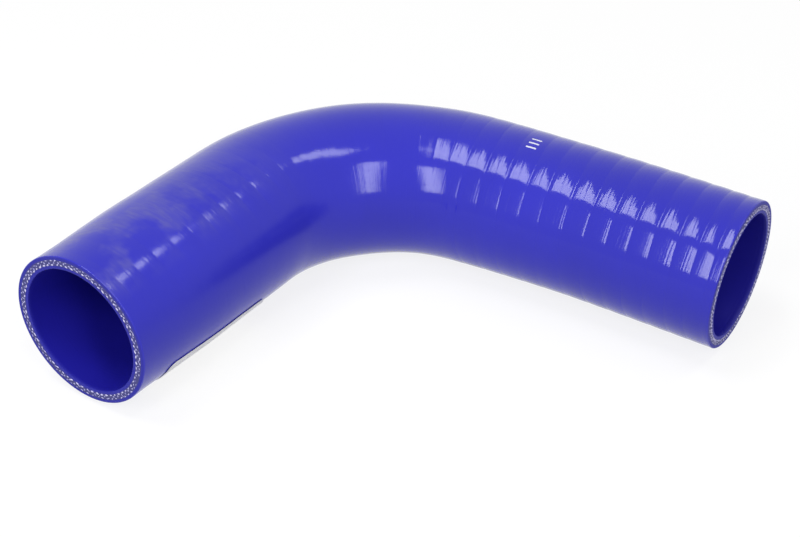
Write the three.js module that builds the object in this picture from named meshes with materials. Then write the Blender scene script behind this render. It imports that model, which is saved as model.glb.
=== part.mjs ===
// Radiator hose: a moulded right-angle elbow of fabric-reinforced silicone, lying on its side,
// with a blank paper label stuck round the underside of one leg.
// Millimetres, +Z up. The longer leg (end B) runs out along +X, the other (end A) along -Y.
// The origin is the bottom centre of the bounding box.
import * as THREE from 'three';

// Bore and cut ends
const BORE_DIAMETER = 50;
const END_WALL = 5;
const EDGE_BEVEL = 0.4; // worn outer edge of the two knife-cut ends

// Centreline, measured from the corner where the axes of the two legs would meet
const LEG_A_REACH = 170; // corner to the cut of end A
const LEG_B_REACH = 181; // corner to the cut of end B
const TOTAL_TURN = 90; // degrees between the two legs
const BEND_TURN = 84; // degrees turned in the tight bend, the rest eases out into leg B
const BEND_RADIUS = 73;
const EASE_RADIUS = 760;

// How far the outside stands proud of the nominal end diameter: the cover is wrapped on over a
// mandrel and bunches up in the bend.
const SWELL_LEG_A = 1.2;
const SWELL_BEND_START = 1.5;
const SWELL_BEND_MIDDLE = 1.75;
const SWELL_BEND_FINISH = 1.0;
const SWELL_LEG_B = 0.2;

// Spiral left in the cover by the curing tape
const TAPE_PITCH = 9.2;
const TAPE_RELIEF = 0.16; // half of the crest-to-hollow height
const TAPE_FADE = 5; // the spiral dies away over this length at each cut end

// Paper label on the underside of leg A
const LABEL_LENGTH = 56; // along the hose
const LABEL_WIDTH = 42; // round the hose
const LABEL_CORNER = 4;
const LABEL_THICKNESS = 0.25;
const LABEL_CLEARANCE = 0.3;
const LABEL_FROM_END = 15.5; // from the cut of end A to the near edge of the label
const LABEL_UPPER_EDGE = 113; // degrees round from the top of the hose, on the inside of the bend

// Fineness of the facets
const SIDES = 36;
const ROWS_PER_TAPE_TURN = 4;
const BORE_STEP_DEGREES = 6;
const LABEL_COLUMNS = 8;
const LABEL_ROWS = 8;
const CORNER_STEPS = 3;

const rad = THREE.MathUtils.degToRad;
const smooth = (v) => THREE.MathUtils.smoothstep(v, 0, 1);

// The centreline is straight, then a tight arc, then a long easing arc, then straight.
const bend = rad(BEND_TURN);
const ease = rad(TOTAL_TURN - BEND_TURN);
const cornerToBend = EASE_RADIUS + (BEND_RADIUS - EASE_RADIUS) * Math.sin(bend);
const cornerToLegB = BEND_RADIUS - (BEND_RADIUS - EASE_RADIUS) * Math.cos(bend);
const bendStart = LEG_A_REACH - cornerToBend;
const bendFinish = bendStart + BEND_RADIUS * bend;
const easeFinish = bendFinish + EASE_RADIUS * ease;
const hoseLength = easeFinish + LEG_B_REACH - cornerToLegB;

// Point, heading and inward side direction of the centreline at a length s from end A.
function centreline(s) {
  if (s <= bendStart) {
    return axisFrame(0, s - LEG_A_REACH, 0);
  }
  if (s >= easeFinish) {
    return axisFrame(cornerToLegB + s - easeFinish, 0, Math.PI / 2);
  }
  const tight = Math.min(s - bendStart, bendFinish - bendStart) / BEND_RADIUS;
  const x = BEND_RADIUS * (1 - Math.cos(tight));
  const y = BEND_RADIUS * Math.sin(tight) - cornerToBend;
  if (s <= bendFinish) {
    return axisFrame(x, y, tight);
  }
  const turned = bend + (s - bendFinish) / EASE_RADIUS;
  return axisFrame(
    x + EASE_RADIUS * (Math.cos(bend) - Math.cos(turned)),
    y + EASE_RADIUS * (Math.sin(turned) - Math.sin(bend)),
    turned,
  );
}

function axisFrame(x, y, turned) {
  const heading = new THREE.Vector3(Math.sin(turned), Math.cos(turned), 0);
  return {
    centre: new THREE.Vector3(x, y, 0),
    inward: new THREE.Vector3(heading.y, -heading.x, 0),
  };
}

// A point at radius r and angle phi round the hose: 0 is the top, a quarter turn is the inside
// of the bend.
function surfacePoint(s, phi, r) {
  const { centre, inward } = centreline(s);
  return centre
    .addScaledVector(inward, r * Math.sin(phi))
    .add(new THREE.Vector3(0, 0, r * Math.cos(phi)));
}

// Outer radius without the spiral: smooth ramps between these stations.
const bendLength = bendFinish - bendStart;
const swellStations = [
  [0, 0],
  [bendStart * 0.5, SWELL_LEG_A],
  [bendStart + bendLength * 0.15, SWELL_BEND_START],
  [bendStart + bendLength * 0.5, SWELL_BEND_MIDDLE],
  [bendStart + bendLength * 0.85, SWELL_BEND_FINISH],
  [(bendFinish + hoseLength) / 2, SWELL_LEG_B],
  [hoseLength, 0],
];

function bodyRadius(s) {
  const next = Math.max(1, swellStations.findIndex(([place]) => place >= s));
  const [fromPlace, fromSwell] = swellStations[next - 1];
  const [toPlace, toSwell] = swellStations[next];
  const swell = THREE.MathUtils.lerp(
    fromSwell, toSwell, smooth((s - fromPlace) / (toPlace - fromPlace)));
  return BORE_DIAMETER / 2 + END_WALL + swell;
}

function coverRadius(s, phi) {
  const fade = smooth(Math.min(s, hoseLength - s) / TAPE_FADE);
  const turns = s / TAPE_PITCH - phi / (2 * Math.PI);
  return bodyRadius(s) + fade * TAPE_RELIEF * Math.cos(2 * Math.PI * turns);
}

// Closed skin over a grid of rows; each row is a list of points of the same count.
// closedRows joins the last row to the first, closedColumns the last column to the first.
function skin(rows, closedRows, closedColumns) {
  const columns = rows[0].length;
  const index = [];
  const rowSteps = closedRows ? rows.length : rows.length - 1;
  const columnSteps = closedColumns ? columns : columns - 1;
  for (let i = 0; i < rowSteps; i += 1) {
    for (let j = 0; j < columnSteps; j += 1) {
      const a = i * columns + j;
      const b = i * columns + ((j + 1) % columns);
      const c = ((i + 1) % rows.length) * columns + ((j + 1) % columns);
      const d = ((i + 1) % rows.length) * columns + j;
      index.push(a, b, c, a, c, d);
    }
  }
  const geometry = new THREE.BufferGeometry();
  geometry.setAttribute(
    'position', new THREE.Float32BufferAttribute(rows.flat().flatMap((p) => p.toArray()), 3));
  geometry.setIndex(index);
  geometry.computeVertexNormals();
  return geometry;
}

// The hose: rings over the cover from end A to end B, then back through the bore.
function hoseGeometry() {
  const ring = (s, radiusAt) => Array.from({ length: SIDES }, (_, j) => {
    const phi = (2 * Math.PI * j) / SIDES;
    return surfacePoint(s, phi, radiusAt(phi));
  });
  const rings = [];
  rings.push(ring(0, () => bodyRadius(0) - EDGE_BEVEL));
  const inner = hoseLength - 2 * EDGE_BEVEL;
  const rows = Math.round((inner / TAPE_PITCH) * ROWS_PER_TAPE_TURN);
  for (let i = 0; i <= rows; i += 1) {
    const s = EDGE_BEVEL + (inner * i) / rows;
    rings.push(ring(s, (phi) => coverRadius(s, phi)));
  }
  rings.push(ring(hoseLength, () => bodyRadius(hoseLength) - EDGE_BEVEL));
  for (const s of boreStations().reverse()) {
    rings.push(ring(s, () => BORE_DIAMETER / 2));
  }
  return skin(rings, true, true);
}

function boreStations() {
  const stations = [0];
  const bendSteps = Math.round(BEND_TURN / BORE_STEP_DEGREES);
  for (let i = 0; i <= bendSteps; i += 1) {
    stations.push(bendStart + (bendLength * i) / bendSteps);
  }
  stations.push((bendFinish + easeFinish) / 2, easeFinish, hoseLength);
  return stations;
}

// The label: a rounded rectangle laid round the leg, an upper and a lower sheet joined at the rim.
function labelGeometry() {
  const across = [];
  for (let i = 0; i <= CORNER_STEPS; i += 1) {
    across.push(LABEL_CORNER * (1 - Math.cos((Math.PI / 2) * (i / CORNER_STEPS))));
  }
  for (let i = 1; i < LABEL_COLUMNS; i += 1) {
    across.push(LABEL_CORNER + (LABEL_LENGTH - 2 * LABEL_CORNER) * (i / LABEL_COLUMNS));
  }
  const columns = [
    ...across,
    ...across.slice(0, CORNER_STEPS + 1).reverse().map((x) => LABEL_LENGTH - x),
  ];
  const rows = columns.map((x) => {
    const fromEnd = Math.min(x, LABEL_LENGTH - x, LABEL_CORNER);
    const lost = LABEL_CORNER - Math.sqrt(LABEL_CORNER ** 2 - (LABEL_CORNER - fromEnd) ** 2);
    const s = LABEL_FROM_END + x;
    const under = bodyRadius(s) + TAPE_RELIEF + LABEL_CLEARANCE;
    const phiAt = (v) => rad(LABEL_UPPER_EDGE)
      + (lost + (LABEL_WIDTH - 2 * lost) * v) / bodyRadius(LABEL_FROM_END);
    const outside = [];
    const underside = [];
    for (let j = 0; j <= LABEL_ROWS; j += 1) {
      const phi = phiAt(j / LABEL_ROWS);
      outside.push(surfacePoint(s, phi, under + LABEL_THICKNESS));
      underside.unshift(surfacePoint(s, phi, under));
    }
    return [...outside, ...underside];
  });
  const band = skin(rows, false, true);
  return closeEnds(band, rows.length, rows[0].length);
}

// Fills the two open ends of the label's band with a strip between its two sheets.
function closeEnds(band, rowCount, columns) {
  const index = Array.from(band.getIndex().array);
  for (let j = 0; j < columns / 2 - 1; j += 1) {
    const facing = columns - 1 - j;
    const last = (rowCount - 1) * columns;
    index.push(j, facing, facing - 1, j, facing - 1, j + 1);
    index.push(last + j, last + facing - 1, last + facing, last + j, last + j + 1, last + facing - 1);
  }
  band.setIndex(index);
  band.computeVertexNormals();
  return band;
}

function namedMesh(name, geometry, colour, roughness) {
  const material = new THREE.MeshStandardMaterial({ color: colour, roughness, metalness: 0 });
  const mesh = new THREE.Mesh(geometry, material);
  mesh.name = name;
  return mesh;
}

const group = new THREE.Group();
group.name = 'radiator_hose';
group.add(namedMesh('hose', hoseGeometry(), 0x2a2cc0, 0.25));
group.add(namedMesh('paper_label', labelGeometry(), 0xeeeeea, 0.8));

// Bring the bottom centre of the bounding box to the origin.
const box = new THREE.Box3().setFromObject(group);
const middle = box.getCenter(new THREE.Vector3());
for (const mesh of group.children) {
  mesh.geometry.translate(-middle.x, -middle.y, -box.min.z);
}

export default group;
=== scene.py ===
# Blue silicone radiator hose: a right-angle elbow lying on its side, with a paper label.
# Metres, +Z up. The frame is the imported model, and every piece is built around it.
import bpy
import numpy as np
from mathutils import Matrix, Vector


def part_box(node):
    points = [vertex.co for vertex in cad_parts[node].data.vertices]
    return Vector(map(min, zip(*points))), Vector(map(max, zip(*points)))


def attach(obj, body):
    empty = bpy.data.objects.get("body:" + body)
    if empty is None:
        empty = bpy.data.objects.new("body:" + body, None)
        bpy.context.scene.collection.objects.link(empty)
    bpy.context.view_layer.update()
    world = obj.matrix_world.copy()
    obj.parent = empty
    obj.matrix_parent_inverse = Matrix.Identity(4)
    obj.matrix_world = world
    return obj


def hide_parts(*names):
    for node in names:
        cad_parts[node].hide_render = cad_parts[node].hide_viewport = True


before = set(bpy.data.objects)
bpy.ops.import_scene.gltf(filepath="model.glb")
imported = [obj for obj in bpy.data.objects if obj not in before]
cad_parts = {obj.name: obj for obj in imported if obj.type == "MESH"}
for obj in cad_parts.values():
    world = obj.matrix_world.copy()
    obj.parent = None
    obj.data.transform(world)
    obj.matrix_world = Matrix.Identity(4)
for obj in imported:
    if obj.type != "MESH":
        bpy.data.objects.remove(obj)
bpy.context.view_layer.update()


# The hose is one moulded wall of silicone rubber with woven plies inside it. The cover is wrapped
# on over a mandrel and cured under a spiral of nylon tape, which leaves shallow bands with a
# crease between them. Both ends are cut square with a knife.
MM = 0.001
BORE_RADIUS = 25 * MM
END_WALL = 5 * MM
LEG_A_REACH = 170 * MM
LEG_B_REACH = 181 * MM
BEND_RADIUS = 73 * MM
BEND_TURN = np.radians(84)
EASE_RADIUS = 760 * MM
EASE_TURN = np.radians(90) - BEND_TURN

corner_to_bend = EASE_RADIUS + (BEND_RADIUS - EASE_RADIUS) * np.sin(BEND_TURN)
corner_to_leg_b = BEND_RADIUS - (BEND_RADIUS - EASE_RADIUS) * np.cos(BEND_TURN)
bend_start = LEG_A_REACH - corner_to_bend
bend_length = BEND_RADIUS * BEND_TURN
bend_finish = bend_start + bend_length
ease_finish = bend_finish + EASE_RADIUS * EASE_TURN
hose_length = ease_finish + LEG_B_REACH - corner_to_leg_b

hose_low, hose_high = (np.array(c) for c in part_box("hose"))
axis_corner = np.array([
    hose_high[0] - LEG_B_REACH,
    hose_low[1] + LEG_A_REACH,
    (hose_low[2] + hose_high[2]) / 2,
])


def centreline(run):
    """Centre and inward side direction of the hose at each length run from end A.

    The heading turns at 1 / BEND_RADIUS through the bend and at 1 / EASE_RADIUS after it. Each
    stretch adds radius * (change of cosine) along X and radius * (change of sine) along Y.
    """
    tight = np.clip(run - bend_start, 0, bend_length) / BEND_RADIUS
    gentle = np.clip(run - bend_finish, 0, ease_finish - bend_finish) / EASE_RADIUS
    turned = tight + gentle
    x = BEND_RADIUS * (1 - np.cos(tight)) + EASE_RADIUS * (np.cos(tight) - np.cos(turned))
    y = BEND_RADIUS * np.sin(tight) + EASE_RADIUS * (np.sin(turned) - np.sin(tight))
    x = x + np.clip(run - ease_finish, 0, None)
    y = y - corner_to_bend + np.clip(run - bend_start, None, 0)
    centre = axis_corner + np.stack([x, y, np.zeros_like(x)], axis=-1)
    inward = np.stack([np.cos(turned), -np.sin(turned), np.zeros_like(x)], axis=-1)
    return centre, inward


def round_the_hose(run, angle, radius):
    """Points at radius from the centreline: centre + radius * (sin(angle) inward + cos(angle) up).

    Angle 0 is the top, and a quarter turn is the inside of the bend.
    """
    centre, inward = centreline(run)
    up = np.array([0.0, 0.0, 1.0])
    side = radius[..., None] * np.sin(angle)[..., None]
    rise = radius[..., None] * np.cos(angle)[..., None]
    return centre + side * inward + rise * up


def smooth(value):
    """Smooth ramp from 0 to 1: 3 v^2 - 2 v^3."""
    value = np.clip(value, 0, 1)
    return value * value * (3 - 2 * value)


def ramped(run, places, sizes):
    """Value at each run: a smooth ramp from each size to the next."""
    step = np.clip(np.searchsorted(places, run, side="right") - 1, 0, len(places) - 2)
    share = smooth((run - places[step]) / (places[step + 1] - places[step]))
    return sizes[step] + (sizes[step + 1] - sizes[step]) * share


SWELL_PLACES = np.array([
    0, bend_start * 0.5, bend_start + bend_length * 0.15, bend_start + bend_length * 0.5,
    bend_start + bend_length * 0.85, (bend_finish + hose_length) / 2, hose_length,
])
SWELL_SIZES = np.array([0, 1.2, 1.5, 1.75, 1.0, 0.2, 0]) * MM


def body_radius(run):
    """Outside radius before the tape marks: the end radius and the swell."""
    return BORE_RADIUS + END_WALL + ramped(run, SWELL_PLACES, SWELL_SIZES)


# The tape marks: each band is a low crown between two creases. The bands were wound by hand, so
# they are not all of one width: CREASES says where they cross the line at CREASE_ANGLE. They stand
# higher, with a groove along the crest, on the side where the tape was tighter.
TAPE_PITCH = 9.2 * MM
CREASE_ANGLE = np.radians(34)
CREASES_LEG_A = np.array([5.5, 14.8, 24.1, 33.5, 42.8, 52.2, 61.6, 71.0, 80.2, 89.2]) * MM
CREASES_LEG_B = np.array([212.5, 221.8, 231.8, 240.1, 250.6, 260.3, 269.6, 278.6, 287.1, 296.3,
                          304.6, 311.1]) * MM
BANDS_BEFORE = 6
BANDS_BETWEEN = 14
BANDS_AFTER = 7
TAPE_STEP = 0.25 * MM
TAPE_MARGIN = 40 * MM
EVENING_OUT = 4 * MM

# The number of turns that the tape has made at each place, evened out over a short length.
tape_places = np.arange(-TAPE_MARGIN, hose_length + TAPE_MARGIN, TAPE_STEP)
crease_places = np.concatenate([
    CREASES_LEG_A[0] + TAPE_PITCH * np.arange(-BANDS_BEFORE, 0), CREASES_LEG_A,
    np.linspace(CREASES_LEG_A[-1], CREASES_LEG_B[0], BANDS_BETWEEN + 1)[1:-1], CREASES_LEG_B,
    CREASES_LEG_B[-1] + TAPE_PITCH * np.arange(1, BANDS_AFTER + 1)])
crease_turns = np.arange(len(crease_places)) - BANDS_BEFORE + CREASE_ANGLE / (2 * np.pi)
tape_turns = np.interp(tape_places, crease_places, crease_turns)
evener = np.hanning(int(2 * EVENING_OUT / TAPE_STEP) + 1)
tape_turns = np.convolve(
    np.pad(tape_turns, len(evener) // 2, mode="reflect", reflect_type="odd"),
    evener / evener.sum(), mode="valid")

# The tighter side, the slopes of the bands there and on the looser side, and their creases.
TIGHT_FROM_PLACES = np.array([0, 105, 190, 316]) * MM
TIGHT_FROM = np.radians([14, 14, -14, -24])
TIGHT_TO = np.radians(43.5)
TIGHT_EDGES = np.radians([7, 3.5])
TIGHT_PLACES = np.array([0, 20, 28, 36, 43, 50, 66, 80, 90, 105, 140, 182, 194, 203, 213, 265,
                         290, 316]) * MM
TIGHT_SLOPES = np.radians([3.8, 3.4, 2.8, 2.2, 1.8, 4.4, 5.2, 5.2, 3.0, 1.0, 0.3, 0.3, 1.2, 3.0,
                           5.2, 6.0, 7.0, 8.0])
TIGHT_CREASES = np.radians([2, 2, 1.5, 1, 1, 3, 3.5, 3.5, 2, 0.5, 0.3, 5, 8, 7, 6, 6, 6, 6])
TIGHT_POWER = 0.6
LOOSE_PLACES = np.array([0, 60, 105, 140, 195, 206, 212, 250, 270, 290, 316]) * MM
LOOSE_SLOPES = np.radians([0.5, 0.5, 0.3, 0.1, 0.15, 1.6, 1.5, 1.3, 2.1, 2.1, 1.5])
LOOSE_POWER = 1
CREASE_SHARE_OUTSIDE = 0.3
CREASE_SHARE_INSIDE = 2.0
CREASE_POWER = 7
CREST_GROOVE = 0.04 * MM
CREST_WIDTH = 0.05
CREST_FULL_SLOPE = np.radians(6)


def tape_relief(run, angle):
    """Height of the bands about their own mean.

    u goes from -1 to 1 across a band. Each term's slope is size * u^power, so its height is
    pitch / 2 * size * (1 / (power + 2) - |u|^(power + 1)) / (power + 1). A groove
    exp(-(u / width)^2) runs along the crest.
    """
    u = 2 * np.mod(np.interp(run, tape_places, tape_turns) - angle / (2 * np.pi), 1.0) - 1
    around = np.mod(angle + np.pi, 2 * np.pi) - np.pi
    tight_from = ramped(run, TIGHT_FROM_PLACES, TIGHT_FROM)
    tight = 1 / (1 + np.exp((tight_from - around) / TIGHT_EDGES[0]))
    tight = tight / (1 + np.exp((around - TIGHT_TO) / TIGHT_EDGES[1]))
    high = ramped(run, TIGHT_PLACES, TIGHT_SLOPES)
    low = ramped(run, LOOSE_PLACES, LOOSE_SLOPES)
    inside = 0.5 + 0.5 * np.sin(angle)
    share = CREASE_SHARE_OUTSIDE + (CREASE_SHARE_INSIDE - CREASE_SHARE_OUTSIDE) * inside
    creased = share * low * (1 - tight) + ramped(run, TIGHT_PLACES, TIGHT_CREASES) * tight
    terms = ((high * tight, TIGHT_POWER), (low * (1 - tight), LOOSE_POWER),
             (creased, CREASE_POWER))
    crest = tight * smooth(high / CREST_FULL_SLOPE) * np.exp(-(u / CREST_WIDTH) ** 2)
    return TAPE_PITCH / 2 * sum(
        size * (1 / (power + 2) - np.abs(u) ** (power + 1)) / (power + 1)
        for size, power in terms) - CREST_GROOVE * crest


LUMP_SEED = 7
LUMP_WAVES = 14
LUMP_LENGTHS = (18, 60)
LUMP_TURNS = 4
LUMP_HEIGHT = 0.006 * MM


def hand_lumps(run, angle):
    """Slow unevenness of the hand-wrapped cover: a sum of sine waves along and round the hose."""
    random = np.random.default_rng(LUMP_SEED)
    total = np.zeros(np.broadcast(run, angle).shape)
    for _ in range(LUMP_WAVES):
        wave = random.uniform(*LUMP_LENGTHS) * MM
        turns = random.integers(0, LUMP_TURNS)
        start = random.uniform(0, 2 * np.pi)
        total += np.sin(2 * np.pi * run / wave + turns * angle + start)
    return LUMP_HEIGHT * total


def cover_radius(run, angle):
    """Outside radius with all its relief."""
    return body_radius(run) + tape_relief(run, angle) + hand_lumps(run, angle)


# Rows of the cover follow the creases: so many rows in each band, closer at crease and crest.
BAND_ROWS = np.array([0, 0.03, 0.08, 0.16, 0.26, 0.37, 0.45, 0.475, 0.49, 0.5, 0.51, 0.525, 0.55,
                      0.63, 0.74, 0.84, 0.92, 0.97])
FIRST_BAND = -2
HOSE_SIDES = 112
EDGE_ROUND = 0.45 * MM
EDGE_STEPS = 4
FACE_STEPS = 12
BORE_EDGE = 0.12 * MM
BORE_EDGE_MIDDLE = 0.3
BORE_EDGE_MASK = 0.6
BORE_MARGIN = 1.5 * MM
BORE_ROWS = 90


def two_triangles(a, b, c, d):
    """Each quad a, b, c, d of point numbers as two triangles."""
    return np.concatenate([
        np.stack([a, b, c], axis=-1).reshape(-1, 3), np.stack([a, c, d], axis=-1).reshape(-1, 3)])


def end_rings(rim):
    """Rings from the rounded edge in to the bore: (distance from the cut, radius, cut mask).

    The edge is a quarter circle: its distance is round * (1 - sin(t)), and its radius is
    rim - round * (1 - cos(t)).
    """
    rings = [
        (EDGE_ROUND * (1 - np.sin(t)), rim - EDGE_ROUND * (1 - np.cos(t)), mask)
        for t, mask in zip(np.linspace(0, np.pi / 2, EDGE_STEPS + 1)[1:],
                           np.linspace(0, 1, EDGE_STEPS))]
    outer = rim - EDGE_ROUND
    inner = BORE_RADIUS + BORE_EDGE
    rings += [(0.0, outer + (inner - outer) * share, 1.0)
              for share in np.linspace(0, 1, FACE_STEPS + 1)[1:]]
    bevel = BORE_EDGE * BORE_EDGE_MIDDLE
    rings.append((bevel, np.full(HOSE_SIDES, BORE_RADIUS + bevel), 1.0))
    rings.append((BORE_EDGE, np.full(HOSE_SIDES, BORE_RADIUS), BORE_EDGE_MASK))
    return rings


def hose_mesh():
    """One closed skin: cover, end B, bore, end A.

    The cover's grid winds along the tape: row i at angle a lies where the tape has made as many
    turns as the row's phase + a / (2 pi), held between the two cut edges. A row meets the one a
    whole band further on where the turn closes, and rows held at the same edge share its points.
    """
    per_band = len(BAND_ROWS)
    last_band = int(np.ceil(hose_length / TAPE_PITCH)) + 1
    phases = (np.arange(FIRST_BAND, last_band)[:, None] + BAND_ROWS).ravel()
    angles = 2 * np.pi * np.arange(HOSE_SIDES) / HOSE_SIDES
    low, high = EDGE_ROUND, hose_length - EDGE_ROUND
    grid = np.interp(phases[:, None] + angles / (2 * np.pi), tape_turns, tape_places)
    start_ring = grid.size + np.arange(HOSE_SIDES)
    end_ring = start_ring + HOSE_SIDES
    number = np.arange(grid.size).reshape(grid.shape)
    number = np.where(grid <= low, start_ring, number)
    number = np.where(grid >= high, end_ring, number)

    # Quads of the winding grid: the last column joins the first, one band further on.
    beside = np.roll(number, -1, axis=1)
    beside[:, -1] = np.roll(number[:, 0], -per_band)
    near, far = slice(None, -per_band - 1), slice(1, -per_band)
    cover_faces = two_triangles(number[near], beside[near], beside[far], number[far])

    # From the cover's edge at end B over the cut face, back through the bore and out at end A.
    rim_low, rim_high = (cover_radius(np.full(HOSE_SIDES, edge), angles) for edge in (low, high))
    chain = [(hose_length - gap, radius, mask) for gap, radius, mask in end_rings(rim_high)]
    chain += [(place, np.full(HOSE_SIDES, BORE_RADIUS), 0.0)
              for place in np.linspace(hose_length - BORE_MARGIN, BORE_MARGIN, BORE_ROWS)]
    chain += reversed(end_rings(rim_low))
    chain_places, chain_radii, chain_masks = zip(*chain)
    chain_rings = end_ring + HOSE_SIDES * np.arange(1, len(chain) + 1)[:, None]
    rings = np.vstack([end_ring, chain_rings, start_ring])
    turned = np.roll(rings, -1, axis=1)
    ring_faces = two_triangles(rings[:-1], turned[:-1], turned[1:], rings[1:])

    run = np.concatenate([
        np.clip(grid, low, high).ravel(), np.repeat([low, high, *chain_places], HOSE_SIDES)])
    angle = np.tile(angles, len(run) // HOSE_SIDES)
    on_grid = slice(0, grid.size)
    radius = np.concatenate([
        cover_radius(run[on_grid], angle[on_grid]), rim_low, rim_high, *chain_radii])
    cut = np.concatenate([
        np.zeros(grid.size + 2 * HOSE_SIDES), np.repeat(chain_masks, HOSE_SIDES)])

    # Triangles that the edges have closed up are left out, and so are the points that they used.
    faces = np.concatenate([cover_faces, ring_faces])
    faces = faces[(faces != np.roll(faces, 1, axis=1)).all(axis=1)]
    used, faces = np.unique(faces, return_inverse=True)
    run, angle, radius, cut = run[used], angle[used], radius[used], cut[used]
    values = {"run": run, "upward": np.cos(angle), "inward": np.sin(angle), "cut": cut,
              "inside": (radius < BORE_RADIUS + BORE_EDGE) * 1.0, "reach": radius}
    return round_the_hose(run, angle, radius), faces.reshape(-1, 3), values


def new_piece(name, points, faces, values, material):
    """A piece from arrays of points and faces, smooth shaded, with one float value per point."""
    mesh = bpy.data.meshes.new(name)
    mesh.from_pydata(points.tolist(), [], faces.tolist())
    for value_name, value in values.items():
        layer = mesh.attributes.new(value_name, "FLOAT", "POINT")
        layer.data.foreach_set("value", np.asarray(value, dtype=np.float32))
    mesh.polygons.foreach_set("use_smooth", np.ones(len(mesh.polygons), dtype=bool))
    mesh.update()
    piece = bpy.data.objects.new(name, mesh)
    bpy.context.collection.objects.link(piece)
    mesh.materials.append(material)
    return piece


def fill(tree, node, inputs):
    """Sets a node's inputs, or links those whose value is another node's output."""
    for key, value in inputs.items():
        socket = node.inputs[key]
        if isinstance(value, bpy.types.NodeSocket):
            tree.links.new(value, socket)
        elif socket.type == "RGBA":
            socket.default_value = (*value, 1.0)
        else:
            socket.default_value = value


def add_node(tree, kind, inputs=None, **settings):
    """A node with its settings made and its inputs filled."""
    node = tree.nodes.new(kind)
    for key, value in settings.items():
        setattr(node, key, value)
    fill(tree, node, inputs or {})
    return node


def new_material(name):
    """An empty node material: its tree, and a Principled shader joined to the output."""
    material = bpy.data.materials.new(name)
    material.use_nodes = True
    tree = material.node_tree
    tree.nodes.clear()
    shader = add_node(tree, "ShaderNodeBsdfPrincipled")
    add_node(tree, "ShaderNodeOutputMaterial", {"Surface": shader.outputs["BSDF"]})
    return material, tree, shader


def mix_colours(tree, share, first, second):
    """Colour between first and second by share; each may be a socket or an RGB triple."""
    return add_node(
        tree, "ShaderNodeMix", {0: share, 6: first, 7: second}, data_type="RGBA").outputs[2]


def mix_values(tree, share, first, second):
    """Value between first and second by share; each may be a socket or a number."""
    return add_node(tree, "ShaderNodeMix", {0: share, 2: first, 3: second}).outputs[0]


def calc(tree, operation, *values, clamp=False):
    """A Math node on sockets or numbers."""
    return add_node(tree, "ShaderNodeMath", dict(enumerate(values)),
                    operation=operation, use_clamp=clamp).outputs[0]


def ramp(tree, value, start, finish, interpolation="SMOOTHSTEP"):
    """A step from 0 where the value is start to 1 where it is finish."""
    return add_node(
        tree, "ShaderNodeMapRange", {"Value": value, "From Min": start, "From Max": finish},
        interpolation_type=interpolation).outputs[0]


def noise(tree, place, scale, detail, roughness):
    """A noise texture at a place: waves per metre, detail and roughness."""
    return add_node(tree, "ShaderNodeTexNoise", {
        "Vector": place, "Scale": scale, "Detail": detail, "Roughness": roughness}).outputs["Fac"]


def raised(tree, height, distance, strength=1.0):
    """A normal bent by a height pattern that rises by so great a distance."""
    return add_node(tree, "ShaderNodeBump", {
        "Strength": strength, "Distance": distance, "Height": height}).outputs["Normal"]


def scaled_colour(tree, colour, scale):
    """A colour times a value."""
    return add_node(tree, "ShaderNodeVectorMath", {0: colour, "Scale": scale},
                    operation="SCALE").outputs["Vector"]


def object_place(tree):
    """The point's own place on its piece."""
    return add_node(tree, "ShaderNodeTexCoord").outputs["Object"]


def point_value(tree, name):
    """A value stored with the points of the mesh."""
    return add_node(tree, "ShaderNodeAttribute", attribute_name=name).outputs["Fac"]


# Colours of the rubber, and its patterns as waves per metre, detail and roughness.
COVER_BLUE = (0.018, 0.018, 0.465)
# Painted shade: the bore's blue is the liner's, darkened for the shade inside the tube.
BORE_PAINTED_SHADE_BLUE = (0.012, 0.010, 0.315)
LINER_BLUE = (0.022, 0.022, 0.330)
PLY_BLUE = (0.058, 0.058, 0.210)
SMEAR_GREY = (0.085, 0.082, 0.400)
# Painted light: a lighter blue for the inner side of leg A.
PAINTED_LIGHT_BLUE = (0.032, 0.032, 0.480)
CLOUDS = (28.0, 3.0, 0.5)
COVER_GRAIN = (1500.0, 2.0, 0.5)
SMEAR_PATCHES = (55.0, 3.0, 0.55)
SMEAR_STREAKS = (1.0, 4.0, 0.6)
PLY_WOBBLES = (420.0, 3.0, 0.6)
KNIFE_MARKS = (2600.0, 4.0, 0.7)

CLOUD_DEPTH = 0.24
RINGS_PER_METRE = 1300.0
RING_WANDER = 1.2 * MM
RING_DETAIL = 0.5
RING_ROUGHNESS = 0.5
GRAIN_HEIGHT = 0.04
KNIFE_HEIGHT = 1.2
KNIFE_SPECK = 0.9
RUBBER_RELIEF = 0.023 * MM

SMEAR_ALONG = (120 * MM, 25 * MM)
SMEAR_UPWARD = (0.66, 0.93)
SMEAR_PATCH_LEVELS = (0.39, 0.58)
SMEAR_STREAK_LEVELS = (0.40, 0.72)
SMEAR_STREAK_DEPTH = 0.5
STREAKS_ALONG = 600.0
STREAKS_ROUND = 4.0

# Where the inner side of leg A gets painted light and is rougher and less glossy.
PAINTED_LIGHT_ALONG = (165 * MM, 110 * MM)
PAINTED_LIGHT_INWARD = (0.72, 0.90)
PAINTED_LIGHT_CLOUDING = (0.8, 0.5)

PLY_INNER = 26.25 * MM
PLY_OUTER = 28.55 * MM
PLY_WOBBLE = 0.5 * MM
PLY_SOFT_EDGE = 0.12 * MM

COVER_ROUGHNESS = 0.10
LEG_A_EXTRA_ROUGHNESS = 0.04
SMEAR_EXTRA_ROUGHNESS = 0.12
INNER_SIDE_EXTRA_ROUGHNESS = 0.11
BORE_ROUGHNESS = 0.40
CUT_ROUGHNESS = 0.6
COVER_SPECULAR = 0.39
INNER_SIDE_SPECULAR = 0.24
CUT_SPECULAR = 0.25
RUBBER_IOR = 1.5


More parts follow.
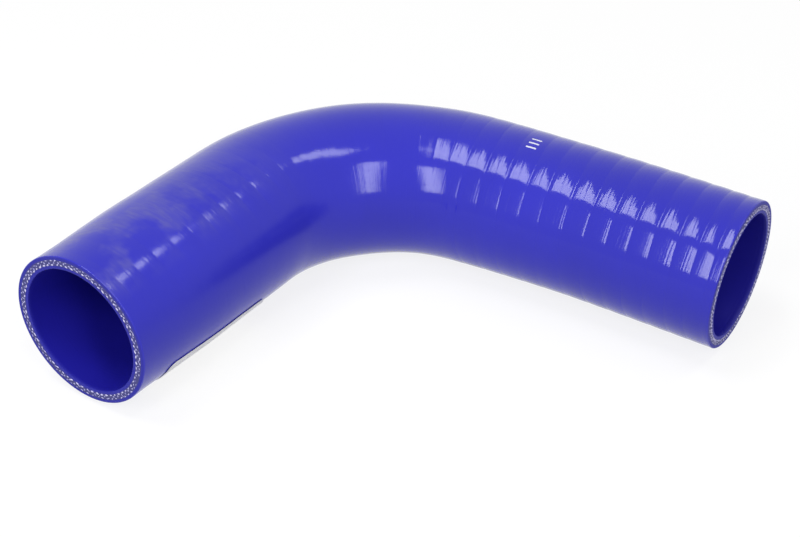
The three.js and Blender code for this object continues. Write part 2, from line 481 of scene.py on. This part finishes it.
def silicone_material():
    """Glossy blue silicone: fine rings left by the tape, a dull knife-cut face, a satin bore in
    painted shade, and painted light on leg A's inner side.
    """
    material, tree, shader = new_material("blue_silicone_rubber")
    run, upward, inward, cut, inside, reach = (
        point_value(tree, name) for name in ("run", "upward", "inward", "cut", "inside", "reach"))
    place = object_place(tree)

    # The cover is a little cloudy, with fine rings round it.
    clouds = noise(tree, place, *CLOUDS)
    tint = scaled_colour(tree, COVER_BLUE, calc(
        tree, "MULTIPLY_ADD", clouds, CLOUD_DEPTH, 1 - CLOUD_DEPTH / 2))
    ring_place = calc(tree, "MULTIPLY", calc(
        tree, "MULTIPLY_ADD", clouds, RING_WANDER, run), RINGS_PER_METRE)
    rings = add_node(tree, "ShaderNodeTexNoise", {
        "W": ring_place, "Scale": 1.0, "Detail": RING_DETAIL, "Roughness": RING_ROUGHNESS},
        noise_dimensions="1D").outputs["Fac"]

    # Hand smears of release agent lie along the top of leg A, streaked round the hose.
    streak_place = add_node(tree, "ShaderNodeCombineXYZ", {
        "X": calc(tree, "MULTIPLY", run, STREAKS_ALONG),
        "Y": calc(tree, "MULTIPLY", upward, STREAKS_ROUND),
        "Z": calc(tree, "MULTIPLY", inward, STREAKS_ROUND)}).outputs["Vector"]
    streak = ramp(tree, noise(tree, streak_place, *SMEAR_STREAKS), *SMEAR_STREAK_LEVELS)
    patch = ramp(tree, noise(tree, place, *SMEAR_PATCHES), *SMEAR_PATCH_LEVELS)
    on_leg_a = ramp(tree, run, *SMEAR_ALONG)
    smear = calc(tree, "MULTIPLY", ramp(tree, upward, *SMEAR_UPWARD), patch)
    smear = calc(tree, "MULTIPLY", smear, on_leg_a)
    smear = calc(tree, "MULTIPLY", smear, calc(
        tree, "MULTIPLY_ADD", streak, SMEAR_STREAK_DEPTH, 1 - SMEAR_STREAK_DEPTH), clamp=True)

    # The inner side of leg A is rougher and less glossy, and painted lighter: painted light where
    # leg B's dark reflection falls.
    inner_side_painted_light = calc(tree, "MULTIPLY", ramp(tree, inward, *PAINTED_LIGHT_INWARD),
                   ramp(tree, run, *PAINTED_LIGHT_ALONG))
    inner_side_painted_light = calc(tree, "MULTIPLY", inner_side_painted_light, calc(
        tree, "MULTIPLY_ADD", clouds, *PAINTED_LIGHT_CLOUDING), clamp=True)

    # The cut face: liner, the greyer band of the plies, cover.
    depth = calc(tree, "MULTIPLY_ADD", noise(tree, place, *PLY_WOBBLES), PLY_WOBBLE,
                 calc(tree, "SUBTRACT", reach, PLY_WOBBLE / 2))
    from_middle = calc(tree, "ABSOLUTE", calc(
        tree, "SUBTRACT", depth, (PLY_INNER + PLY_OUTER) / 2))
    half_band = (PLY_OUTER - PLY_INNER) / 2
    plies = ramp(tree, from_middle, half_band + PLY_SOFT_EDGE, half_band - PLY_SOFT_EDGE, "LINEAR")
    knife = noise(tree, place, *KNIFE_MARKS)
    ply_colour = scaled_colour(tree, PLY_BLUE, calc(
        tree, "MULTIPLY_ADD", knife, KNIFE_SPECK, 1 - KNIFE_SPECK / 2))
    cut_colour = mix_colours(tree, plies, LINER_BLUE, ply_colour)

    cover_colour = mix_colours(tree, smear, tint, SMEAR_GREY)
    # Painted light: the inner side of leg A is given a lighter blue.
    cover_colour = mix_colours(tree, inner_side_painted_light, cover_colour, PAINTED_LIGHT_BLUE)
    # Painted shade: the bore is given a darker blue than the liner's own.
    colour = mix_colours(tree, inside, cover_colour, BORE_PAINTED_SHADE_BLUE)
    roughness = calc(tree, "MULTIPLY_ADD", smear, SMEAR_EXTRA_ROUGHNESS, COVER_ROUGHNESS)
    roughness = calc(tree, "MULTIPLY_ADD", on_leg_a, LEG_A_EXTRA_ROUGHNESS, roughness)
    roughness = calc(tree, "MULTIPLY_ADD", inner_side_painted_light, INNER_SIDE_EXTRA_ROUGHNESS, roughness)
    roughness = mix_values(tree, inside, roughness, BORE_ROUGHNESS)
    specular = mix_values(tree, inner_side_painted_light, COVER_SPECULAR, INNER_SIDE_SPECULAR)
    cover_height = calc(
        tree, "MULTIPLY_ADD", noise(tree, place, *COVER_GRAIN), GRAIN_HEIGHT, rings)
    height = mix_values(tree, cut, cover_height, calc(tree, "MULTIPLY", knife, KNIFE_HEIGHT))
    # The export drops a linked specular level and keeps the socket's own.
    shader.inputs["Specular IOR Level"].default_value = COVER_SPECULAR
    fill(tree, shader, {
        "Base Color": mix_colours(tree, cut, colour, cut_colour),
        "Roughness": mix_values(tree, cut, roughness, CUT_ROUGHNESS),
        "Specular IOR Level": mix_values(tree, cut, specular, CUT_SPECULAR),
        "Normal": raised(tree, height, RUBBER_RELIEF),
        "IOR": RUBBER_IOR})
    return material


silicone_hose = new_piece("silicone_hose", *hose_mesh(), silicone_material())
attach(silicone_hose, "root")
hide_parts("hose")


# The reinforcement shows in both cut faces: the cut ends of polyester yarns of two crossing plies.
# Each ply waves in and out against the other, so they make a chain of diamonds, brightest where a
# wave turns inward. End B has more of them, frayed further.
CHAIN_RADIUS = 27.35 * MM
CHAIN_SWING = 0.80 * MM
CHAIN_DRIFT = 0.06 * MM
CHAIN_SWING_DRIFT = 0.10
YARN_SIDES = 8
YARN_RINGS = 4
WAVES_AT_FULL_LENGTH = 34
# Kinds of yarn end: place in the wave, half length and half width in mm, stain, share that shows.
YARN_KINDS = ((0.50, 0.72, 0.36, 0.10, 0.95), (0.00, 0.62, 0.26, 0.40, 0.90),
              (0.26, 0.52, 0.20, 0.50, 0.85), (0.74, 0.52, 0.20, 0.50, 0.85))
YARN_SIZES = (0.65, 1.15)
PHASE_SPREAD = 0.05
REACH_SPREAD = 0.04 * MM
LEAN_SPREAD = 0.12
STAIN_SPREAD = 0.12
DEEPEST_STAIN = 0.85


def lens(sides, rings):
    """A closed unit ball from two poles and rings of points between them.

    A point of a ring is (sin(tilt) cos(turn), sin(tilt) sin(turn), cos(tilt)).
    """
    tilt = np.pi * np.arange(1, rings) / rings
    turn = 2 * np.pi * np.arange(sides) / sides
    ring_points = np.stack([
        np.sin(tilt)[:, None] * np.cos(turn), np.sin(tilt)[:, None] * np.sin(turn),
        np.broadcast_to(np.cos(tilt)[:, None], (rings - 1, sides))], axis=-1).reshape(-1, 3)
    points = np.vstack([[0, 0, 1], ring_points, [0, 0, -1]])
    number = 1 + np.arange((rings - 1) * sides).reshape(rings - 1, sides)
    beside = np.roll(number, -1, axis=1)
    first, last = np.zeros(sides, int), np.full(sides, len(points) - 1)
    return points, np.concatenate([
        np.stack([first, number[0], beside[0]], axis=-1),
        two_triangles(number[:-1], number[1:], beside[1:], beside[:-1]),
        np.stack([number[-1], last, beside[-1]], axis=-1)])


def yarn_ends(run, outward, waves, proud, stained, seed):
    """Lens-shaped yarn ends set along both waves of the face at run, all in one mesh.

    A wave lies at radius + swing * cos(waves * angle). Each yarn end is a unit ball stretched to
    length, width and height, turned to follow its wave and moved to its place:
    point = centre + a * along the wave + b * across it + c * outward. The more waves there are,
    the shorter the ends.
    """
    random = np.random.default_rng(seed)
    ball, ball_faces = lens(YARN_SIDES, YARN_RINGS)
    points, faces, stains = [], [], []
    centre, inward = (v[0] for v in centreline(np.array([run])))
    up = np.array([0.0, 0.0, 1.0])
    out = outward * np.cross(up, inward)
    drift = random.uniform(0, 2 * np.pi, 3)
    ends = [(ply + number, *kind)
            for ply in (0.0, 0.5) for number in range(waves) for kind in YARN_KINDS]
    for wave, phase, half_length, half_width, stain, shows in ends:
        if random.uniform() > shows:
            continue
        phase += random.normal(0, PHASE_SPREAD)
        angle = 2 * np.pi * (wave + phase) / waves
        uneven = np.sin(3 * angle + drift[0]) + np.sin(5 * angle + drift[1])
        swing = CHAIN_SWING * (1 + CHAIN_SWING_DRIFT * np.sin(7 * angle + drift[2]))
        reach = (CHAIN_RADIUS + CHAIN_DRIFT * uneven + random.normal(0, REACH_SPREAD)
                 + swing * np.cos(2 * np.pi * phase))
        climb = -swing * waves / CHAIN_RADIUS * np.sin(2 * np.pi * phase)
        lean = np.arctan(climb) + random.normal(0, LEAN_SPREAD)
        size = random.uniform(*YARN_SIZES) * MM
        radial = np.sin(angle) * inward + np.cos(angle) * up
        round_way = np.cos(angle) * inward - np.sin(angle) * up
        long_way = np.cos(lean) * round_way + np.sin(lean) * radial
        wide_way = np.cos(lean) * radial - np.sin(lean) * round_way
        turn = np.sign(np.dot(np.cross(long_way, wide_way), out))
        shape = (ball[:, :1] * half_length * size * WAVES_AT_FULL_LENGTH / waves * long_way
                 + ball[:, 1:2] * half_width * size * wide_way * turn
                 + ball[:, 2:] * proud * out)
        faces.append(ball_faces + len(ball) * len(points))
        points.append(centre + reach * radial + shape)
        stain = np.clip(stained * stain + random.normal(0, STAIN_SPREAD), 0, DEEPEST_STAIN)
        stains.append(np.full(len(ball), stain))
    return np.concatenate(points), np.concatenate(faces), {"stain": np.concatenate(stains)}


YARN_WHITE = (0.66, 0.64, 0.90)
YARN_STAINED = (0.12, 0.11, 0.50)
FILAMENTS = (5200.0, 3.0, 0.7)
FILAMENT_RELIEF = 0.03 * MM
STAIN_PATCHES = 0.5


def yarn_material():
    """White polyester yarn, stained blue by the rubber round it, with fine filaments."""
    material, tree, shader = new_material("polyester_yarn")
    filament = noise(tree, object_place(tree), *FILAMENTS)
    patch = calc(tree, "MULTIPLY_ADD", filament, STAIN_PATCHES, -STAIN_PATCHES / 2)
    share = calc(tree, "ADD", point_value(tree, "stain"), patch, clamp=True)
    fill(tree, shader, {
        "Base Color": mix_colours(tree, share, YARN_WHITE, YARN_STAINED),
        "Normal": raised(tree, filament, FILAMENT_RELIEF, 0.6),
        "Roughness": 0.7})
    return material


# Each cut face: its place, which way is out, waves, how far the ends stand out, stain, seed.
YARN_FACES = {
    "yarn_ends_a": (0.0, -1, 34, 0.10 * MM, 1.0, 11),
    "yarn_ends_b": (hose_length, 1, 44, 0.22 * MM, 0.4, 12),
}
yarn = yarn_material()
for yarn_name, yarn_setting in YARN_FACES.items():
    yarn_piece = new_piece(yarn_name, *yarn_ends(*yarn_setting), yarn)
    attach(yarn_piece, "root")


# The label is a blank piece of paper with rounded corners, stuck round the underside of leg A.
# It rides over the tape bands, and its upper edge is askew and has lifted a little.
LABEL_LENGTH = 56 * MM
LABEL_WIDTH = 42 * MM
LABEL_CORNER = 4 * MM
LABEL_FROM_END = 15.5 * MM
LABEL_UPPER_EDGE = np.radians(113)
LABEL_SKEW = (1.2 * MM, 3.1 * MM)
LABEL_THICKNESS = 0.22 * MM
LABEL_CLEARANCE = 0.10 * MM
LABEL_LIFT = 0.15 * MM
LABEL_LIFT_REACH = 3 * MM
LABEL_COLUMNS = 90
LABEL_CORNER_COLUMNS = 9
LABEL_ROWS = 60


def closed_sheet(outer, inner):
    """Points and faces of a thin sheet: an outer and an inner grid joined round the rim."""
    columns, rows = outer.shape[:2]
    number = np.arange(columns * rows).reshape(columns, rows)
    a, b, c, d = number[:-1, :-1], number[:-1, 1:], number[1:, 1:], number[1:, :-1]
    upper = np.stack([a, b, c, d], axis=-1).reshape(-1, 4)
    lower = upper[:, ::-1] + columns * rows
    loop = np.concatenate([number[:-1, 0], number[-1, :-1], number[:0:-1, -1], number[0, :0:-1]])
    edge = np.stack([loop, np.roll(loop, -1)], axis=-1)
    rim = np.concatenate([edge, edge[:, ::-1] + columns * rows], axis=-1)
    points = np.concatenate([outer.reshape(-1, 3), inner.reshape(-1, 3)])
    return points, np.concatenate([upper, lower, rim])


def label_mesh():
    """A closed thin sheet that follows the cover.

    Column x along the hose loses corner - sqrt(corner^2 - (corner - x)^2) at its two ends, and the
    rest is shared evenly round the hose. The start of a column goes from one skew to the other.
    """
    bend_share = np.linspace(0, 1, LABEL_CORNER_COLUMNS + 1)[:-1]
    corner_columns = LABEL_CORNER * (1 - np.cos(np.pi / 2 * bend_share))
    middle = np.linspace(LABEL_CORNER, LABEL_LENGTH - LABEL_CORNER,
                         LABEL_COLUMNS - 2 * LABEL_CORNER_COLUMNS)
    column = np.concatenate([corner_columns, middle, LABEL_LENGTH - corner_columns[::-1]])
    near = np.minimum(np.minimum(column, LABEL_LENGTH - column), LABEL_CORNER)
    lost = (LABEL_CORNER - np.sqrt(LABEL_CORNER ** 2 - (LABEL_CORNER - near) ** 2))[:, None]
    askew = (LABEL_SKEW[0] + (LABEL_SKEW[1] - LABEL_SKEW[0]) * column / LABEL_LENGTH)[:, None]
    start = askew + lost
    width = start + (LABEL_WIDTH - lost - start) * np.linspace(0, 1, LABEL_ROWS)
    run = np.broadcast_to((LABEL_FROM_END + column)[:, None], width.shape)
    angle = LABEL_UPPER_EDGE + width / body_radius(LABEL_FROM_END)
    lift = LABEL_LIFT * smooth(1 - (width - start) / LABEL_LIFT_REACH)
    under = cover_radius(run, angle) + LABEL_CLEARANCE + lift
    return closed_sheet(round_the_hose(run, angle, under + LABEL_THICKNESS),
                        round_the_hose(run, angle, under))


PAPER_WHITE = (0.90, 0.90, 0.89)
PAPER_SHADE = (0.66, 0.66, 0.68)
PAPER_FIBRES = (900.0, 5.0, 0.65)
FIBRE_TINT = 0.10
FIBRE_RELIEF = 0.02 * MM


def paper_material():
    """Matt white paper with faint fibres."""
    material, tree, shader = new_material("label_paper_fibre")
    fibre = noise(tree, object_place(tree), *PAPER_FIBRES)
    shade = calc(tree, "MULTIPLY", fibre, FIBRE_TINT, clamp=True)
    fill(tree, shader, {
        "Base Color": mix_colours(tree, shade, PAPER_WHITE, PAPER_SHADE),
        "Normal": raised(tree, fibre, FIBRE_RELIEF, 0.5),
        "Roughness": 0.75})
    return material


label = new_piece("label_sheet", *label_mesh(), {}, paper_material())
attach(label, "root")
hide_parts("paper_label")


# A small mark is printed in white ink on top of leg B: three plain strokes side by side, each
# lying along the hose.
MARK_RUN = 225.6 * MM
MARK_STROKE_LENGTH = 4.4 * MM
MARK_STROKE_WIDTH = 0.9 * MM
MARK_ANGLES = np.radians([-0.5, 5.0, 10.5])
MARK_THICKNESS = 0.05 * MM
MARK_TUCK = 0.3
MARK_COLUMNS = 25
MARK_ROWS = 9


def stroke_mesh(angle_middle):
    """A thin pad of ink that follows the cover: a grid of places, lifted by its thickness.

    The pad's height falls to below the cover at its rim as 1 - (2 x)^8 does, so its edge is soft.
    """
    along, across = np.meshgrid(
        np.linspace(-0.5, 0.5, MARK_COLUMNS), np.linspace(-0.5, 0.5, MARK_ROWS), indexing="ij")
    run = MARK_RUN + along * MARK_STROKE_LENGTH
    angle = angle_middle + across * MARK_STROKE_WIDTH / body_radius(MARK_RUN)
    dome = (1 - (2 * along) ** 8) * (1 - (2 * across) ** 8)
    height = MARK_THICKNESS * (dome * (1 + MARK_TUCK) - MARK_TUCK)
    cover = cover_radius(run, angle)
    return closed_sheet(round_the_hose(run, angle, cover + height),
                        round_the_hose(run, angle, cover - MARK_THICKNESS))


INK_WHITE = (0.85, 0.86, 0.92)
INK_THIN = (0.35, 0.36, 0.70)
INK_SPECKLE = (2400.0, 3.0, 0.5)
INK_THINNING = 0.5


def ink_material():
    """White pad-printed ink, slightly broken up."""
    material, tree, shader = new_material("white_ink")
    speckle = noise(tree, object_place(tree), *INK_SPECKLE)
    thin = calc(tree, "MULTIPLY", speckle, INK_THINNING)
    fill(tree, shader, {
        "Base Color": mix_colours(tree, thin, INK_WHITE, INK_THIN), "Roughness": 0.4})
    return material


ink = ink_material()
for mark_number, mark_angle in enumerate(MARK_ANGLES, start=1):
    mark = new_piece(f"ink_stroke_{mark_number}", *stroke_mesh(mark_angle), {}, ink)
    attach(mark, "root")


# The floor is a plain white sheet. To the camera, and in glossy reflections, it is plain white
# apart from the object's shadow.
FLOOR_SIZE = 40.0
FLOOR_PALE = 0.60
FLOOR_WHITE = 0.20
FLOOR_GLOW = 0.82
FLOOR_GLOW_FAR = 0.956
FLOOR_FADE = (0.6, 5.0)


def looked_at(tree):
    """1 for a ray from the camera, or one sent on by a glossy or clear surface, otherwise 0."""
    path = add_node(tree, "ShaderNodeLightPath").outputs
    seen = calc(tree, "MAXIMUM", path["Is Camera Ray"], path["Is Glossy Ray"])
    return calc(tree, "MAXIMUM", seen, path["Is Transmission Ray"])


def floor_material():
    """A pale diffuse floor; where it is looked at it is white, and keeps part of the shadow.

    Far from the object, where the lamps give little, it glows more, so that it has no far edge.
    """
    material, tree, shader = new_material("white_floor")
    seen = looked_at(tree)
    away = add_node(tree, "ShaderNodeVectorMath", {0: object_place(tree)}, operation="LENGTH")
    far = ramp(tree, away.outputs["Value"], *FLOOR_FADE)
    glow = mix_values(tree, far, FLOOR_GLOW, FLOOR_GLOW_FAR)
    fill(tree, shader, {
        "Base Color": mix_values(tree, seen, FLOOR_PALE, FLOOR_WHITE),
        "Roughness": 1.0,
        "Specular IOR Level": 0.0,
        "Emission Color": (1, 1, 1),
        "Emission Strength": calc(tree, "MULTIPLY", seen, glow)})
    return material


floor_mesh = bpy.data.meshes.new("floor")
half_floor = FLOOR_SIZE / 2
floor_mesh.from_pydata(
    [(-half_floor, -half_floor, 0), (half_floor, -half_floor, 0), (half_floor, half_floor, 0),
     (-half_floor, half_floor, 0)], [], [(0, 1, 2, 3)])
floor_mesh.materials.append(floor_material())
floor = bpy.data.objects.new("floor", floor_mesh)
bpy.context.collection.objects.link(floor)


# The surroundings are an empty white studio: white where they are seen or mirrored, and a softer
# light on the object.
ROOM_LIGHT = 0.22
world = bpy.data.worlds.new("studio")
bpy.context.scene.world = world
world.use_nodes = True
sky = world.node_tree
sky.nodes.clear()
background = add_node(sky, "ShaderNodeBackground", {
    "Color": (1, 1, 1), "Strength": mix_values(sky, looked_at(sky), ROOM_LIGHT, 1.0)})
add_node(sky, "ShaderNodeOutputWorld", {"Surface": background.outputs["Background"]})


# Four soft boxes light the studio: a tall one on either side of the camera and two overhead. They
# are placed from the point that they all face.
LAMPS_FACE = Vector(axis_corner + np.array([30, -30, 0]) * MM)
LAMP_FACE_BRIGHTNESS = 8.0


def area_lamp(name, place, turn, width, depth, brightness):
    """A rectangular lamp; its power is brightness * pi * area, so its face is that bright."""
    lamp = bpy.data.lights.new(name, "AREA")
    lamp.shape = "RECTANGLE"
    lamp.size = width
    lamp.size_y = depth
    lamp.energy = brightness * np.pi * width * depth
    box = bpy.data.objects.new(name, lamp)
    box.location = place
    box.rotation_euler = turn
    bpy.context.collection.objects.link(box)


def soft_box(name, azimuth, elevation, distance, half_width, half_height, roll):
    """A tall lamp in a direction in degrees; its half sizes are shares of its distance."""
    a, e = np.radians(azimuth), np.radians(elevation)
    way = Vector((np.cos(e) * np.cos(a), np.cos(e) * np.sin(a), np.sin(e)))
    side = Vector((0, 0, 1)).cross(way).normalized()
    facing = Matrix((side, way.cross(side), way)).transposed()
    turn = (facing @ Matrix.Rotation(np.radians(roll), 3, "Z")).to_euler()
    area_lamp(name, LAMPS_FACE + distance * way, turn, 2 * half_width * distance,
              2 * half_height * distance, LAMP_FACE_BRIGHTNESS)


def overhead_box(name, x, y, width, depth, height, turn, brightness):
    """A lamp hung level over the object; its place and size are shares of its height."""
    area_lamp(name, LAMPS_FACE + height * Vector((x, y, 1)), (0, 0, np.radians(turn)),
              width * height, depth * height, brightness)


soft_box("soft_box_right", -28.7, 31.8, 3.0, 0.082, 0.40, -4.7)
soft_box("soft_box_left", -86.4, 32.4, 0.85, 0.126, 0.33, -4.9)
overhead_box("soft_box_over_right", 0.376, 0.324, 0.17, 0.58, 1.45, 14, 0.8 * LAMP_FACE_BRIGHTNESS)

# The fourth hangs over the bend: a panel of strips that get shorter toward the back, each given
# by its left, right, near and far edge. The strips behind the first are set PANEL_SHIFT aside.
PANEL_SHIFT = -0.30
PANEL_HEIGHT = 2.0
PANEL_STRIPS = ((-0.44, -0.06, -0.49, -0.20), (-0.12, 0.16, -0.20, -0.10),
                (-0.07, 0.11, -0.10, -0.02), (-0.04, 0.065, -0.02, 0.05), (-0.02, 0.03, 0.05, 0.11))
for strip_number, (left, right, near, far) in enumerate(PANEL_STRIPS, start=1):
    middle = (left + right) / 2 + (PANEL_SHIFT if strip_number > 1 else 0)
    overhead_box(f"soft_box_over_bend_{strip_number}", middle, (near + far) / 2,
                 right - left, far - near, PANEL_HEIGHT, 0, LAMP_FACE_BRIGHTNESS)


# The camera stands at the photograph's viewing angle. Its place and the point that it looks at
# are given from the corner where the axes of the two legs meet.
IMAGE_WIDTH = 800
FOCAL_PIXELS = 1405.9
CAMERA_FROM_CORNER = np.array([306.7, -447.4, 302.6]) * MM
CAMERA_AIM = np.array([71.55, -71.27, 0.0]) * MM
CAMERA_ROLL = 1.762

camera_data = bpy.data.cameras.new("camera")
camera_data.sensor_width = 36.0
camera_data.lens = camera_data.sensor_width * FOCAL_PIXELS / IMAGE_WIDTH
camera_data.clip_start = 0.01
camera = bpy.data.objects.new("camera", camera_data)
eye = Vector(axis_corner + CAMERA_FROM_CORNER)
aim = Vector(axis_corner + CAMERA_AIM)
camera.location = eye
look = (aim - eye).to_track_quat("-Z", "Y").to_matrix()
camera.rotation_euler = (look @ Matrix.Rotation(np.radians(CAMERA_ROLL), 3, "Z")).to_euler()
bpy.context.collection.objects.link(camera)
bpy.context.scene.camera = camera
bpy.context.scene.view_settings.view_transform = "Standard"
